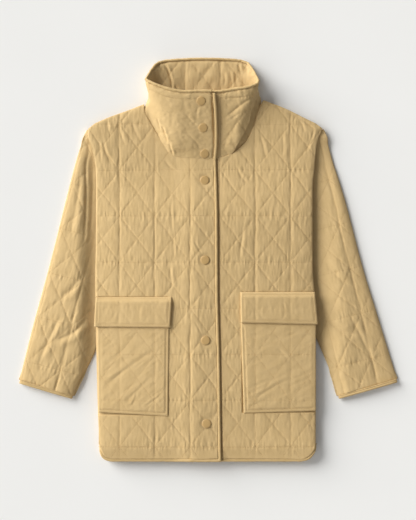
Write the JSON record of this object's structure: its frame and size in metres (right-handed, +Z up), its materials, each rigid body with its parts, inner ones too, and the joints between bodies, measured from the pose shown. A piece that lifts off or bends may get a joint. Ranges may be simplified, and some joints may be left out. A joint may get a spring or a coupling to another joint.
{
  "type": "quilted jacket laid flat",
  "caption": "Women's hip-length quilted jacket with a tall funnel neck, snapped front, flapped patch pockets and bound edges, lying flat on its back with the sleeves down.",
  "frame": {"origin": "on the surface that the jacket lies on, under the middle of the whole jacket seen from above", "axes": "+X towards the wearer's left, +Y from the hem to the collar, +Z up, out of the jacket's front"},
  "size_m": [0.7786, 0.8296, 0.0529],
  "materials": {
    "quilted_cloth": "warm khaki cotton-nylon poplin, quilted over thin wadding, soft dull sheen, fine puckers along the stitching",
    "tape": "the same cloth cut as a folded edge tape, topstitched",
    "snap_enamel": "tan enamelled snap cap, satin"
  },
  "bodies": {
    "root": {"back": "quilted_cloth", "front_right": "quilted_cloth", "front_left": "quilted_cloth", "sleeve_right": "quilted_cloth", "sleeve_left": "quilted_cloth", "collar": "quilted_cloth", "pocket_right": "quilted_cloth", "pocket_left": "quilted_cloth", "flap_right": "quilted_cloth", "flap_left": "quilted_cloth", "binding_front_right": "tape", "binding_front_left": "tape", "binding_back": "tape", "binding_collar": "tape", "binding_cuff_right": "tape", "binding_cuff_left": "tape", "snap_1": "snap_enamel", "snap_2": "snap_enamel", "snap_3": "snap_enamel", "snap_4": "snap_enamel", "snap_5": "snap_enamel", "snap_6": "snap_enamel", "snap_7": "snap_enamel"}
  },
  "joints": []
}
